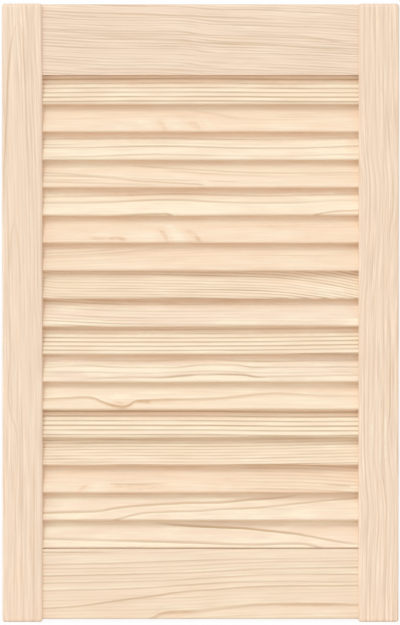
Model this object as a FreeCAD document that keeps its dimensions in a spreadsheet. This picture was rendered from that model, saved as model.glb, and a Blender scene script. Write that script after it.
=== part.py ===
import FreeCAD
import Part

import os

import Sketcher
from FreeCAD import Placement, Rotation, Vector

# A slatted cabinet door in pine: two stiles, two rails, fixed slats held in slanted slots, and dowels
# that join the rails to the stiles. Millimetres and degrees, +Z up, the front towards -Y, and the
# origin at the middle of the door's foot.

os.makedirs("parts", exist_ok=True)

doc = FreeCAD.newDocument("slatted_door")
sheet = doc.addObject("Spreadsheet::Sheet", "Sizes")

# Driving dimensions
SIZES = {
    "door_width": 394,
    "door_height": 615,
    "stile_width": 40,
    "stile_thickness": 21,
    "stile_edge_round": 2.8,
    "stile_end_round": 2.6,
    "rail_height": 70,
    "rail_thickness": 14,
    "rail_outer_round": 2.4,
    "rail_inner_round": 0.6,
    "rail_inset_top": 0.5,
    "rail_inset_foot": 2.5,
    "slat_count": 17,
    "slat_width": 29.5,
    "slat_thickness": 5,
    "slat_edge_round": 1.2,
    "slat_tilt": 20,
    "slat_rail_gap": 0.5,
    "slot_depth": 10,
    "slot_clearance": 0.1,
    "slot_end_room": 0.5,
    "cutter_lead": 5,
    "dowel_diameter": 8,
    "dowel_length": 40,
    "dowel_spacing": 40,
    "dowel_chamfer": 1,
    "flute_count": 12,
    "flute_radius": 0.4,
    "hole_clearance": 0.05,
    "hole_end_room": 1,
}
for row, (name, value) in enumerate(SIZES.items(), start=1):
    sheet.set(f"A{row}", name)
    sheet.set(f"B{row}", str(value))
    sheet.setAlias(f"B{row}", name)
doc.recompute()

# Lengths and heights worked out from the sheet. The slats are spread evenly over the opening, and
# SLAT_RISE is the height of one tilted slat with its rounded edges.
RAIL_LENGTH = "(Sizes.door_width - 2 * Sizes.stile_width)"
TOP_RAIL_MIDDLE = "(Sizes.door_height - Sizes.rail_inset_top - Sizes.rail_height / 2)"
BOTTOM_RAIL_MIDDLE = "(Sizes.rail_inset_foot + Sizes.rail_height / 2)"
OPENING = f"({TOP_RAIL_MIDDLE} - {BOTTOM_RAIL_MIDDLE} - Sizes.rail_height)"
SLAT_RISE = (
    "((Sizes.slat_width - 2 * Sizes.slat_edge_round) * cos(Sizes.slat_tilt)"
    " + (Sizes.slat_thickness - 2 * Sizes.slat_edge_round) * sin(Sizes.slat_tilt)"
    " + 2 * Sizes.slat_edge_round)"
)
SLAT_SPAN = f"({OPENING} - {SLAT_RISE} - 2 * Sizes.slat_rail_gap)"
SLAT_PITCH = f"({SLAT_SPAN} / (Sizes.slat_count - 1))"
TOP_SLAT_MIDDLE = (
    f"({TOP_RAIL_MIDDLE} - Sizes.rail_height / 2 - Sizes.slat_rail_gap - {SLAT_RISE} / 2)"
)
HOLE_DEPTH = "Sizes.dowel_length / 2 + Sizes.hole_end_room"

# The tilt turns each slat about X so that its upper edge leans to the back.
TILT_AXIS = Vector(-1, 0, 0)


def origin_feature(body, role):
    """One of a body's own origin planes or axes."""
    for feature in body.Origin.OriginFeatures:
        if feature.Role == role:
            return feature
    raise RuntimeError(f"{body.Label} has no {role}")


def add_sketch(body, name, role):
    """An empty sketch on one of a body's origin planes."""
    sketch = body.newObject("Sketcher::SketchObject", name)
    sketch.AttachmentSupport = [(origin_feature(body, role), "")]
    sketch.MapMode = "FlatFace"
    return sketch


def bind_constraint(sketch, constraint, name, expression):
    """Adds a dimension to a sketch and ties it to an expression."""
    number = sketch.addConstraint(constraint)
    sketch.renameConstraint(number, name)
    sketch.setExpression(f"Constraints.{name}", expression)


def draw_rectangle(sketch, across, up):
    """A rectangle about the sketch's origin."""
    corners = [Vector(-20, -10), Vector(20, -10), Vector(20, 10), Vector(-20, 10)]
    for side in range(4):
        sketch.addGeometry(Part.LineSegment(corners[side], corners[(side + 1) % 4]))
    for side in range(4):
        sketch.addConstraint(Sketcher.Constraint("Coincident", side, 2, (side + 1) % 4, 1))
    for side in (0, 2):
        sketch.addConstraint(Sketcher.Constraint("Horizontal", side))
        sketch.addConstraint(Sketcher.Constraint("Vertical", side + 1))
    sketch.addConstraint(Sketcher.Constraint("Symmetric", 0, 1, 2, 1, -1, 1))
    bind_constraint(sketch, Sketcher.Constraint("DistanceX", 0, 1, 0, 2, 40), "across", across)
    bind_constraint(sketch, Sketcher.Constraint("DistanceY", 1, 1, 1, 2, 20), "up", up)


def draw_rounded_rectangle(sketch, across, up, radius):
    """A rectangle with rounded corners about the sketch's origin, for a slat and for its slot."""
    half_across, half_up, corner = 3, 15, 2
    inner_across = half_across - corner
    inner_up = half_up - corner
    ends = [
        (Vector(-inner_across, -half_up), Vector(inner_across, -half_up)),
        (Vector(half_across, -inner_up), Vector(half_across, inner_up)),
        (Vector(inner_across, half_up), Vector(-inner_across, half_up)),
        (Vector(-half_across, inner_up), Vector(-half_across, -inner_up)),
    ]
    centres = [
        Vector(inner_across, -inner_up),
        Vector(inner_across, inner_up),
        Vector(-inner_across, inner_up),
        Vector(-inner_across, -inner_up),
    ]
    quarter = FreeCAD.Units.Quantity("90 deg").getValueAs("rad").Value
    for start, end in ends:
        sketch.addGeometry(Part.LineSegment(start, end))
    for number, centre in enumerate(centres):
        circle = Part.Circle(centre, Vector(0, 0, 1), corner)
        sketch.addGeometry(Part.ArcOfCircle(circle, (number - 1) * quarter, number * quarter))
    for side in range(4):
        sketch.addConstraint(Sketcher.Constraint("Tangent", side, 2, side + 4, 1))
        sketch.addConstraint(Sketcher.Constraint("Tangent", side + 4, 2, (side + 1) % 4, 1))
    for side in (0, 2):
        sketch.addConstraint(Sketcher.Constraint("Horizontal", side))
        sketch.addConstraint(Sketcher.Constraint("Vertical", side + 1))
    for arc in (5, 6, 7):
        sketch.addConstraint(Sketcher.Constraint("Equal", 4, arc))
    sketch.addConstraint(Sketcher.Constraint("Symmetric", 4, 3, 6, 3, -1, 1))
    bind_constraint(sketch, Sketcher.Constraint("Radius", 4, corner), "radius", radius)
    bind_constraint(sketch, Sketcher.Constraint("DistanceX", 3, 1, 1, 1, 6), "across", across)
    bind_constraint(sketch, Sketcher.Constraint("DistanceY", 0, 1, 2, 1, 30), "up", up)


def draw_circle(sketch, number, height, radius):
    """A circle on the sketch's vertical axis."""
    start = Vector(0, 50 * (number + 1))
    sketch.addGeometry(Part.Circle(start, Vector(0, 0, 1), 4))
    sketch.addConstraint(Sketcher.Constraint("PointOnObject", number, 3, -2))
    bind_constraint(
        sketch, Sketcher.Constraint("DistanceY", -1, 1, number, 3, start.y), f"height{number}", height
    )
    bind_constraint(sketch, Sketcher.Constraint("Radius", number, 4), f"radius{number}", radius)


def add_pad(body, sketch, length, symmetric):
    """A board raised from a sketch, to one side or equally to both."""
    pad = body.newObject("PartDesign::Pad", "Board")
    pad.Profile = sketch
    pad.SideType = "Symmetric" if symmetric else "One side"
    pad.setExpression("Length", length)
    doc.recompute()
    return pad


def add_pocket(body, name, sketch, depth, towards_plus_x):
    """A cut from a sketch that lies on a YZ plane, to one side of it."""
    pocket = body.newObject("PartDesign::Pocket", name)
    pocket.Profile = sketch
    pocket.Reversed = towards_plus_x
    pocket.setExpression("Length", depth)
    doc.recompute()
    return pocket


def add_fillet(body, base, edges, radius):
    """Rounds the named edges of a feature."""
    fillet = body.newObject("PartDesign::Fillet", "Round")
    fillet.Base = (base, edges)
    fillet.setExpression("Radius", radius)
    doc.recompute()
    return fillet


def edge_names(shape, axis, along):
    """Names of the edges that run along an axis, or of all the others."""
    names = []
    for number, edge in enumerate(shape.Edges, start=1):
        runs_along = abs(edge.tangentAt(edge.FirstParameter).dot(axis)) > 0.999
        if runs_along == along:
            names.append(f"Edge{number}")
    return names


def edges_towards(shape, names, direction):
    """Those of the named edges that lie on one side of the origin."""
    return [name for name in names if shape.getElement(name).CenterOfMass.dot(direction) > 0]


def dowel_heights(middle):
    """Heights of the upper and the lower dowel of a rail end, from the middle of the rail."""
    return [f"{middle} + Sizes.dowel_spacing / 2", f"{middle} - Sizes.dowel_spacing / 2"]


def make_stile(label, side):
    """An upright board with rounded edges, a slot for each slat and holes for the dowels.

    The side is -1 for the left stile and +1 for the right one, whose inner edge faces -X. The slots
    are cut from a little clear of that edge, so that they open through its rounding too.
    """
    body = doc.addObject("PartDesign::Body", label)
    section = add_sketch(body, "Section", "XY_Plane")
    draw_rectangle(section, "Sizes.stile_width", "Sizes.stile_thickness")
    board = add_pad(body, section, "Sizes.door_height", symmetric=False)
    long_edges = edge_names(board.Shape, Vector(0, 0, 1), along=True)
    rounded = add_fillet(body, board, long_edges, "Sizes.stile_edge_round")
    end_edges = edge_names(rounded.Shape, Vector(0, 0, 1), along=False)
    add_fillet(body, rounded, end_edges, "Sizes.stile_end_round")

    inner_edge = f"{-side} * Sizes.stile_width / 2"
    holes = add_sketch(body, "DowelHoles", "YZ_Plane")
    holes.setExpression("AttachmentOffset.Base.z", inner_edge)
    heights = dowel_heights(TOP_RAIL_MIDDLE) + dowel_heights(BOTTOM_RAIL_MIDDLE)
    for number, height in enumerate(heights):
        draw_circle(holes, number, height, "Sizes.dowel_diameter / 2 + Sizes.hole_clearance")
    add_pocket(body, "Holes", holes, HOLE_DEPTH, side > 0)

    outline = add_sketch(body, "SlotOutline", "YZ_Plane")
    outline.AttachmentOffset = Placement(Vector(), Rotation(Vector(0, 0, -1), SIZES["slat_tilt"]))
    outline.setExpression("AttachmentOffset.Base.y", TOP_SLAT_MIDDLE)
    outline.setExpression("AttachmentOffset.Base.z", f"{inner_edge} + {-side} * Sizes.cutter_lead")
    outline.setExpression("AttachmentOffset.Rotation.Angle", "Sizes.slat_tilt")
    draw_rounded_rectangle(
        outline,
        "Sizes.slat_thickness + 2 * Sizes.slot_clearance",
        "Sizes.slat_width + 2 * Sizes.slot_clearance",
        "Sizes.slat_edge_round + Sizes.slot_clearance",
    )
    slot = add_pocket(body, "TopSlot", outline, "Sizes.slot_depth + Sizes.cutter_lead", side > 0)
    slots = body.newObject("PartDesign::LinearPattern", "Slots")
    slots.Originals = [slot]
    slots.Direction = (origin_feature(body, "Z_Axis"), [""])
    slots.Reversed = True
    slots.setExpression("Length", SLAT_SPAN)
    slots.setExpression("Occurrences", "Sizes.slat_count")
    body.Tip = slots

    body.setExpression("Placement.Base.x", f"{side} * ({RAIL_LENGTH} + Sizes.stile_width) / 2")
    return body


def make_rail(label, middle, inwards):
    """A wide board between the stiles, with rounded long edges and two dowel holes in each end.

    Inwards points from the middle of the rail to the slats. The edges on that side are rounded less.
    """
    body = doc.addObject("PartDesign::Body", label)
    section = add_sketch(body, "Section", "YZ_Plane")
    draw_rectangle(section, "Sizes.rail_thickness", "Sizes.rail_height")
    board = add_pad(body, section, RAIL_LENGTH, symmetric=True)
    long_edges = edge_names(board.Shape, Vector(1, 0, 0), along=True)
    outer_edges = edges_towards(board.Shape, long_edges, -inwards)
    rounded = add_fillet(body, board, outer_edges, "Sizes.rail_outer_round")
    long_edges = edge_names(rounded.Shape, Vector(1, 0, 0), along=True)
    inner_edges = edges_towards(rounded.Shape, long_edges, inwards)
    add_fillet(body, rounded, inner_edges, "Sizes.rail_inner_round")

    holes = add_sketch(body, "DowelHoles", "YZ_Plane")
    holes.setExpression("AttachmentOffset.Base.z", f"{RAIL_LENGTH} / 2")
    for number, height in enumerate(dowel_heights("0")):
        draw_circle(holes, number, height, "Sizes.dowel_diameter / 2 + Sizes.hole_clearance")
    right_holes = add_pocket(body, "RightHoles", holes, HOLE_DEPTH, False)
    both_ends = body.newObject("PartDesign::Mirrored", "BothEnds")
    both_ends.Originals = [right_holes]
    both_ends.MirrorPlane = (origin_feature(body, "YZ_Plane"), [""])
    body.Tip = both_ends

    body.setExpression("Placement.Base.z", middle)
    return body


def make_slat(number):
    """A thin blade with rounded long edges, its ends in the slots, numbered from the top."""
    body = doc.addObject("PartDesign::Body", f"slat_{number:02d}")
    section = add_sketch(body, "Section", "YZ_Plane")
    draw_rounded_rectangle(
        section, "Sizes.slat_thickness", "Sizes.slat_width", "Sizes.slat_edge_round"
    )
    add_pad(body, section, f"{RAIL_LENGTH} + 2 * (Sizes.slot_depth - Sizes.slot_end_room)", symmetric=True)

    body.Placement = Placement(Vector(), Rotation(TILT_AXIS, SIZES["slat_tilt"]))
    body.setExpression("Placement.Rotation.Angle", "Sizes.slat_tilt")
    body.setExpression("Placement.Base.z", f"{TOP_SLAT_MIDDLE} - {number - 1} * {SLAT_PITCH}")
    return body


def make_dowel(label, side, height):
    """A fluted dowel with chamfered ends, half in the rail and half in the stile."""
    body = doc.addObject("PartDesign::Body", label)
    section = add_sketch(body, "Section", "YZ_Plane")
    draw_circle(section, 0, "0", "Sizes.dowel_diameter / 2")
    pin = add_pad(body, section, "Sizes.dowel_length", symmetric=True)
    chamfer = body.newObject("PartDesign::Chamfer", "Ends")
    chamfer.Base = (pin, edge_names(pin.Shape, Vector(1, 0, 0), along=False))
    chamfer.setExpression("Size", "Sizes.dowel_chamfer")
    doc.recompute()

    groove = add_sketch(body, "Flute", "YZ_Plane")
    draw_circle(groove, 0, "Sizes.dowel_diameter / 2", "Sizes.flute_radius")
    flute = body.newObject("PartDesign::Pocket", "OneFlute")
    flute.Profile = groove
    flute.SideType = "Symmetric"
    flute.Type = "ThroughAll"
    doc.recompute()
    flutes = body.newObject("PartDesign::PolarPattern", "Flutes")
    flutes.Originals = [flute]
    flutes.Axis = (origin_feature(body, "X_Axis"), [""])
    flutes.Angle = 360
    flutes.setExpression("Occurrences", "Sizes.flute_count")
    body.Tip = flutes

    body.setExpression("Placement.Base.x", f"{side} * {RAIL_LENGTH} / 2")
    body.setExpression("Placement.Base.z", height)
    return body


# The pieces
pieces = [
    make_stile("left_stile", -1),
    make_stile("right_stile", 1),
    make_rail("top_rail", TOP_RAIL_MIDDLE, Vector(0, 0, -1)),
    make_rail("bottom_rail", BOTTOM_RAIL_MIDDLE, Vector(0, 0, 1)),
]
for slat_number in range(1, SIZES["slat_count"] + 1):
    pieces.append(make_slat(slat_number))
for rail_name, rail_middle in (("top", TOP_RAIL_MIDDLE), ("bottom", BOTTOM_RAIL_MIDDLE)):
    for side_name, side in (("left", -1), ("right", 1)):
        for place, height in zip(("upper", "lower"), dowel_heights(rail_middle)):
            pieces.append(make_dowel(f"{rail_name}_{side_name}_{place}_dowel", side, height))
doc.recompute()

# Every feature must have worked, every cut must have removed wood, and every piece is one solid.
for item in doc.Objects:
    if "Invalid" in item.State or "Error" in item.State:
        raise RuntimeError(f"{item.Label} failed: {item.State}")
    if item.isDerivedFrom("PartDesign::Pocket"):
        if item.Shape.Volume >= item.BaseFeature.Shape.Volume:
            raise RuntimeError(f"{item.Label} cut nothing")
for piece in pieces:
    shape = piece.Shape
    if shape.isNull() or not shape.isValid() or len(shape.Solids) != 1:
        raise RuntimeError(f"{piece.Label} isn't one valid solid")
for piece in pieces:
    piece.Shape.exportStep(f"parts/{piece.Label}.step")
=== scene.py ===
"""Pine looks, studio and camera for a slatted cabinet door."""

import math
import random
from typing import NamedTuple

import bmesh
import bpy
from bpy.props import FloatProperty, FloatVectorProperty, IntProperty, PointerProperty
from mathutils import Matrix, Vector


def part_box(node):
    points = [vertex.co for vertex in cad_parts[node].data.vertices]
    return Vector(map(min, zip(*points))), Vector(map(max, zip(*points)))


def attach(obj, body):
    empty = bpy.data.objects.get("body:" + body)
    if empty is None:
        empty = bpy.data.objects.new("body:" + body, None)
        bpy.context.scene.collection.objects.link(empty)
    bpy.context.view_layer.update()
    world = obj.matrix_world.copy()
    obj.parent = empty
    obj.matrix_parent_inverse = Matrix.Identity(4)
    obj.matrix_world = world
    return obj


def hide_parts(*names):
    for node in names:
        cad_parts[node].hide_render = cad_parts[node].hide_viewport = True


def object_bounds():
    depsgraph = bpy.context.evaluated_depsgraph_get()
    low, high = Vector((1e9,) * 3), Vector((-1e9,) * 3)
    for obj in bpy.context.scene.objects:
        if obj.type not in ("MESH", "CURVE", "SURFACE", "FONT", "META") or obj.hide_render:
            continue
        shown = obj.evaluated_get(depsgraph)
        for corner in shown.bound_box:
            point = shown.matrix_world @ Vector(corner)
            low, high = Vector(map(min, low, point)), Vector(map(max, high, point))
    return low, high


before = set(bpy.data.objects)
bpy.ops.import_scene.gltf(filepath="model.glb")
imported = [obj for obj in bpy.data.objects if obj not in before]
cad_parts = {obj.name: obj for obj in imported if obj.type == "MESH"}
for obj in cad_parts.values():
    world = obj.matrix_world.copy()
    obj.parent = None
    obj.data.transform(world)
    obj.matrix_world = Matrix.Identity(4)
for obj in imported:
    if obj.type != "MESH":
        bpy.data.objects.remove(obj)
CAD_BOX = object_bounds()

bl_info = {
    "name": "Slatted Pine Door",
    "version": (1, 0, 0),
    "blender": (4, 5, 0),
    "location": "3D View > Sidebar > Pine Door",
    "description": "Finishes the boards of a slatted pine cabinet door and sets a small studio round it",
    "category": "Object",
}

MM = 0.001
RAILS = ("top_rail", "bottom_rail")
STILES = ("left_stile", "right_stile")
CORNERS = ("top_left", "top_right", "bottom_left", "bottom_right")
DOWELS = [f"{corner}_{place}_dowel" for corner in CORNERS for place in ("upper", "lower")]
RIGHTWARDS = Vector((1, 0, 0))
UPWARDS = Vector((0, 0, 1))
FORWARDS = Vector((0, -1, 0))
# Seeds of the slats' bows and of the wood of the first slat, rail and stile
BOW_SEED = 17
SLAT_SEED = 1
RAIL_SEED = 31
STILE_SEED = 41
# Where the lamps shine from, in metres from the door's foot. Those of the key stand one above another, so
# that it is tall and narrow.
KEY_PLACES = [Vector((-1.5, -4.2, height)) for height in (4.0, 5.0, 6.4)]
WASH_PLACE = Vector((-3.2, -2.6, 1.6))
# Height of the picture in pixels
PICTURE_HEIGHT = 625


class Noise(NamedTuple):
    """Noise drawn out along a board: its size along and across in millimetres, and how far it swings."""

    along: float
    across: float
    swing: float
    detail: float = 2.0


# Two bends that keep the rings from running straight
SLOW_BEND = Noise(90.0, 22.0, 2.0)
QUICK_BEND = Noise(24.0, 5.0, 0.8)
# How unevenly the rings are spaced, and how they fade in and out along the board
RING_SPACING = Noise(300.0, 7.0, 2.0)
RING_FADING = Noise(60.0, 5.0, 1.6)
# How the veins stray from their points
VEIN_BEND = Noise(18.0, 5.0, 0.8)
# Tone of the pale wood, in soft patches and over wide stretches, and the ragged edges of the spots
PATCHES = Noise(40.0, 7.0, 3.2)
STRETCHES = Noise(150.0, 12.0, 1.4)
SPOT_EDGES = Noise(9.0, 4.0, 1.6)
# Fine fibres, and how they come and go
FIBRES = Noise(50.0, 1.5, 1.0, detail=3.0)
FIBRE_FADING = Noise(120.0, 15.0, 2.4)
# Dark flecks in the beech of the dowels
FLECKS = Noise(3.0, 0.4, 1.0)

# Shift of the noise along, across and through a board from one seed to the next, in millimetres
SEED_SHIFT = (97.0, 41.0, 13.0)
# How far the pith lies below the ring that a board's path follows, in millimetres
PITH_BELOW = 200.0
# Lowest and highest place across a board that a line's points may have, in millimetres
ACROSS_REACH = (-60.0, 140.0)
# How far the wood beside a vein differs from the rest, in millimetres
HALO_REACH = 3.5
# Tones at which a spot begins to turn brown and is as brown as it gets, and how brown that is
STAIN_TONES = (0.8, 3.0)
STAIN_DEPTH = 0.8
# How much a dark fibre takes from red, green and blue
FIBRE_STAIN = (-1.0, -1.2, -1.45)
# How much the roughness changes on a growth line and on a fibre
LINE_ROUGHNESS = -0.08
FIBRE_ROUGHNESS = 0.12
# Height of a fibre over the pale wood, as a share of a growth line's
FIBRE_RELIEF = 0.6
# Noise at which a fleck in the beech begins and is full, and how light it is beside the rest
FLECK_EDGE = (0.05, 0.2)
FLECK_SHADE = 0.7


class Vein:
    """One growth line, drawn on its own. Lengths are in millimetres on the board's front face.

    Each of its points is a place along the board, a place across it and how dark the line is there. The line
    is width wide, and fades out over soft_above on its upper side and over soft_below on its lower side. The
    wood beside it is warmer below the line and paler above it by halo, or the other way round where halo is
    below zero.
    """

    def __init__(self, *points, width=0.7, soft_above=0.6, soft_below=1.2, halo=0.8):
        self.points = points
        self.width = width
        self.soft_above = soft_above
        self.soft_below = soft_below
        self.halo = halo


class Spot(NamedTuple):
    """A soft patch of another tone. Lengths are in millimetres on the board's front face.

    The tone is below zero for cream and above it for pink and brown. The spot leans along the board by lean
    for each step across it.
    """

    along: float
    across: float
    half_length: float
    half_height: float
    tone: float
    lean: float = 0.0


class Figure(NamedTuple):
    """How one board was cut from its log. Lengths are in millimetres on the board's front face.

    One ring runs along the points of path, each a place along the board and a place across it. The others
    follow it at ring_width. Late wood is the dark part of a ring: it takes late_rise to darken and is then
    late_width wide. It is as dark as strength says, and grows to that from nothing between the two places
    of fade. Variety is how much the rings differ in strength, uneven how much they do in spacing, and wander
    how far they bend. Veins are lines that stand out from the rings.

    Late wood is browner with more brownness. Pale wood is that of the slats where rosy is 0 and that of the
    frame where it is 1. It turns to cream with warmth below zero and to pink above it, in patches as strong
    as bloom, and in spots. Fibre is how strong the fine fibres are.
    """

    path: tuple = ((-157, 0), (157, 0))
    ring_width: float = 4.0
    late_width: float = 0.45
    late_rise: float = 1.2
    strength: float = 0.0
    variety: float = 0.9
    uneven: float = 0.0
    wander: float = 0.5
    fade: tuple = (-1000.0, -900.0)
    brownness: float = 0.1
    rosy: float = 0.0
    warmth: float = 0.0
    bloom: float = 0.8
    fibre: float = 0.2
    veins: tuple = ()
    spots: tuple = ()


# The plain numbers of a figure, each of them an input of the pine node group
FIGURE_NUMBERS = [name for name, kind in Figure.__annotations__.items() if kind is float]
# Painted shade: a warm tone laid on the cream slats towards their upper edge, where the slat above shades
# them, so that this shade looks warm
WARM_PAINTED_SHADE = Spot(0, 25, 300, 8, 1.4)
# The cut of each board, listed one by one. Slats and rails are measured along from the middle of the door,
# and across from their lower edge. Stiles are measured along from the foot, and across from the left.
FIGURES = {}
FIGURES["slat_01"] = Figure(
    path=((-157, 20.6), (-79, 21.1), (0, 21.4), (80, 20.8), (157, 20.6)),
    ring_width=4.6, late_rise=1.7, strength=0.9, wander=0.25, warmth=-0.5,
    spots=(Spot(-125, 2.5, 35, 3, 0.8), Spot(55, 15, 18, 3, 0.6), WARM_PAINTED_SHADE),
)
FIGURES["slat_02"] = Figure(
    warmth=0.55,
    veins=(
        Vein((-15, 22, 0), (0, 20, 0.22), (20, 17, 0.26), (33, 14, 0.15), (45, 12, 0),
             width=1.4, soft_above=1.5, soft_below=1.5),
        Vein((60, 15.5, 0), (80, 15.2, 0.15), (140, 15, 0.15), (157, 15, 0.1)),
        Vein((60, 17.8, 0), (90, 17.5, 0.15), (157, 17.2, 0.15)),
    ),
    spots=(
        Spot(-27, 8, 11, 9, -1.1, -0.4), Spot(-55, 7, 12, 7, -0.8, -0.6), Spot(-38, 6, 5, 8, 0.8, -0.5),
        Spot(-6, 6, 8, 7, 1.1, -0.9), Spot(8, 8, 5, 7, -0.7, -0.9), Spot(-75, 4, 12, 5, -0.6),
        Spot(80, 4, 24, 5, -0.7), Spot(-130, 19, 30, 4, 0.6),
    ),
)
FIGURES["slat_03"] = Figure(
    warmth=-0.6,
    veins=(
        Vein((-157, 11.9, 0.55), (-115, 11.9, 0.45), (-70, 13, 0.75), (-30, 13.3, 0.8), (0, 12.6, 0.7),
             (45, 11.3, 0.6), (80, 11.3, 0.6), (157, 13.6, 0.6)),
        Vein((-157, 2.2, 0.35), (-115, 2.6, 0.4), (-45, 4.9, 0.5), (0, 4.2, 0.45), (40, 3.3, 0.2),
             (157, 5.2, 0.4)),
        Vein((-157, 20.6, 0.5), (-40, 21.5, 0.6), (30, 20.2, 0.6), (80, 20.4, 0.4), (157, 22, 0.4)),
        Vein((-157, 14.9, 0.45), (-125, 15, 0.25), (-100, 15.4, 0)),
        Vein((-70, 16.6, 0), (-40, 16.8, 0.2), (20, 15.8, 0.2), (60, 15.2, 0.1), (100, 16, 0)),
    ),
    spots=(Spot(150, 12, 8, 10, 0.6), Spot(-150, 18, 15, 3, 0.5), WARM_PAINTED_SHADE),
)
FIGURES["slat_04"] = Figure(
    warmth=0.35,
    veins=(
        Vein((-157, 11.8, 0.45), (-110, 10.7, 0.5), (-85, 8.9, 0.5), (-60, 6.1, 0.55), (-40, 4.9, 0.6),
             (-2, 2.6, 0.6), (4, 2, 0)),
        Vein((-157, 14.6, 0.4), (-130, 13.3, 0.4), (-80, 9.9, 0.3), (-40, 7.6, 0.35), (-8, 6.4, 0.3),
             (5, 6, 0)),
        Vein((-157, 5.4, 0.35), (-130, 4.6, 0.35), (-90, 3.6, 0.3), (-60, 2.4, 0.3), (-40, 1.8, 0)),
        Vein((-157, 7.8, 0.3), (-110, 7, 0.25), (-85, 6, 0)),
        Vein((-70, 21.8, 0), (-40, 19.8, 0.5), (-10, 18.1, 0.45), (20, 16.4, 0.5), (50, 14.9, 0.4),
             (90, 14.3, 0.35), (157, 14.6, 0.4)),
        Vein((-40, 17.4, 0), (-20, 15.8, 0.3), (20, 12.9, 0.35), (55, 11.8, 0.25), (80, 11.5, 0)),
        Vein((5, 6.2, 0), (15, 5.8, 0.35), (32, 5.4, 0.3), (40, 5, 0)),
        Vein((100, 12.4, 0), (115, 12.2, 0.3), (157, 12.6, 0.3)),
    ),
)
FIGURES["slat_05"] = Figure(
    brownness=0.5, warmth=-0.45,
    veins=(
        Vein((-157, 11.8, 0.35), (-100, 12.4, 0.4), (-60, 14.2, 0.55), (-40, 15, 0.6), (-20, 14.8, 0.55),
             (30, 12.3, 0.45), (60, 11.8, 0.4), (100, 12.3, 0.35), (130, 13.8, 0.15),
             width=1.0, soft_above=1.6, soft_below=0.6, halo=-1.0),
        Vein((-95, -0.8, 0), (-60, 0.6, 0.55), (-35, 1.1, 0.7), (-26, -1, 0), width=0.9),
        Vein((110, -0.5, 0), (118, 1, 0.6), (128, 2.8, 0.6), (140, 3.8, 0.55), (157, 4.6, 0.5)),
        Vein((-157, 18.4, 0.4), (-80, 20, 0.45), (-20, 21.3, 0.5), (60, 19.5, 0.45), (157, 21.2, 0.4),
             width=1.0),
    ),
    spots=(Spot(-140, 4, 18, 3, -0.9), Spot(-20, 8, 40, 4, -0.6), Spot(70, 15, 40, 3, 0.6), WARM_PAINTED_SHADE),
)
FIGURES["slat_06"] = Figure(
    warmth=0.6,
    spots=(
        Spot(-100, 4.5, 14, 3, 0.8), Spot(-83, 4.5, 12, 2.5, 0.8), Spot(-77, 2.5, 6, 2, 0.9),
        Spot(-96, 8, 14, 3, -0.7), Spot(-58, 6, 22, 9, -0.8), Spot(-36, 7, 4, 10, 1.2, -0.6),
        Spot(-24, 8, 9, 14, -1.2, -0.7), Spot(-8, 8, 6, 9, 0.9, -0.9), Spot(-2, 4.5, 5, 4, 0.6, -0.5),
        Spot(82, 8, 30, 6, -0.6), Spot(100, 17, 60, 3, 0.5),
    ),
)
FIGURES["slat_07"] = Figure(
    path=((-157, 14.8), (-41, 20), (40, 22), (157, 22)),
    ring_width=3.2, strength=0.12, warmth=0.6,
    veins=(
        Vein((-157, 14.6, 0.4), (-120, 16, 0.4), (-80, 18.4, 0.5), (-55, 20.6, 0.3), (-30, 22, 0)),
        Vein((-157, 13, 0.35), (-120, 14.2, 0.3), (-90, 15.8, 0.3), (-60, 17.8, 0.15), (-40, 19, 0)),
        Vein((-157, 17, 0.4), (-120, 18.8, 0.4), (-95, 20.5, 0.3), (-80, 21.5, 0)),
        Vein((85, 15.2, 0), (95, 14.9, 0.3), (115, 15, 0.3), (140, 15.5, 0)),
    ),
    spots=(Spot(-140, 4, 20, 4, -0.6), Spot(70, 6, 60, 4, -0.5)),
)
FIGURES["slat_08"] = Figure(
    path=(
        (-157, 15), (-140, 13.4), (-60, 12.8), (0, 12), (40, 11.1), (80, 9.2), (100, 6.9), (130, 2.3),
        (157, -3),
    ),
    ring_width=2.9, late_rise=1.0, strength=0.55, variety=1.2, uneven=0.8, fade=(-400, 80), fibre=0.3,
    spots=(Spot(130, 6, 20, 8, -0.7),),
)
FIGURES["slat_09"] = Figure(
    path=((-157, 19.5), (-135, 18.5), (-100, 16.5), (-60, 15.6), (0, 15.4), (157, 14.8)),
    ring_width=3.4, strength=0.42, variety=1.3, uneven=0.8, fade=(260, -160), rosy=0.7, warmth=-0.35,
    fibre=0.25,
    spots=(Spot(-120, 3, 36, 3.5, -0.8), Spot(40, 3, 40, 2.5, -0.5), WARM_PAINTED_SHADE),
)
FIGURES["slat_10"] = Figure(
    path=((-157, 12.5), (-40, 12.1), (0, 12.3), (60, 12.7), (157, 13.9)),
    ring_width=4.3, late_rise=1.7, strength=0.62, wander=0.25, warmth=-0.5,
    spots=(WARM_PAINTED_SHADE,),
)
FIGURES["slat_11"] = Figure(
    rosy=0.7, warmth=-0.7, fibre=0.3,
    veins=(
        Vein((-157, 14.6, 0.18), (-130, 16, 0.36), (-115, 16.5, 0.36), (-90, 14.7, 0.48), (-30, 14, 0.48),
             (0, 16.9, 0.48), (30, 17.2, 0.48), (55, 14.3, 0.6), (80, 14.5, 0.48), (157, 14.9, 0.42)),
        Vein((-120, 2.4, 0), (-100, 2.6, 0.42), (-75, 3.7, 0.48), (-45, 3.4, 0.6), (-15, 5.5, 0.9),
             (0, 6.3, 0.6), (25, 6.5, 0.9), (42, 6.2, 1), (58, 4, 0.72), (80, 4.3, 0.42), (157, 6, 0.42),
             width=1.0, soft_above=1.4, soft_below=0.6, halo=-1.2),
        Vein((-157, 9.6, 0.3), (-110, 9.4, 0.3), (-60, 8.6, 0.18), (-20, 9.6, 0.42), (10, 10.4, 0.42),
             (60, 8.8, 0.3), (157, 10, 0.18)),
        Vein((-130, 22, 0), (-60, 20.8, 0.45), (0, 22.5, 0.3), (62, 20.4, 0.6), (110, 21, 0.45),
             (157, 21.5, 0.3), width=1.0),
    ),
    spots=(Spot(22, 2.5, 28, 3, -1.4), Spot(-130, 8, 25, 8, 0.5), WARM_PAINTED_SHADE),
)
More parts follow.
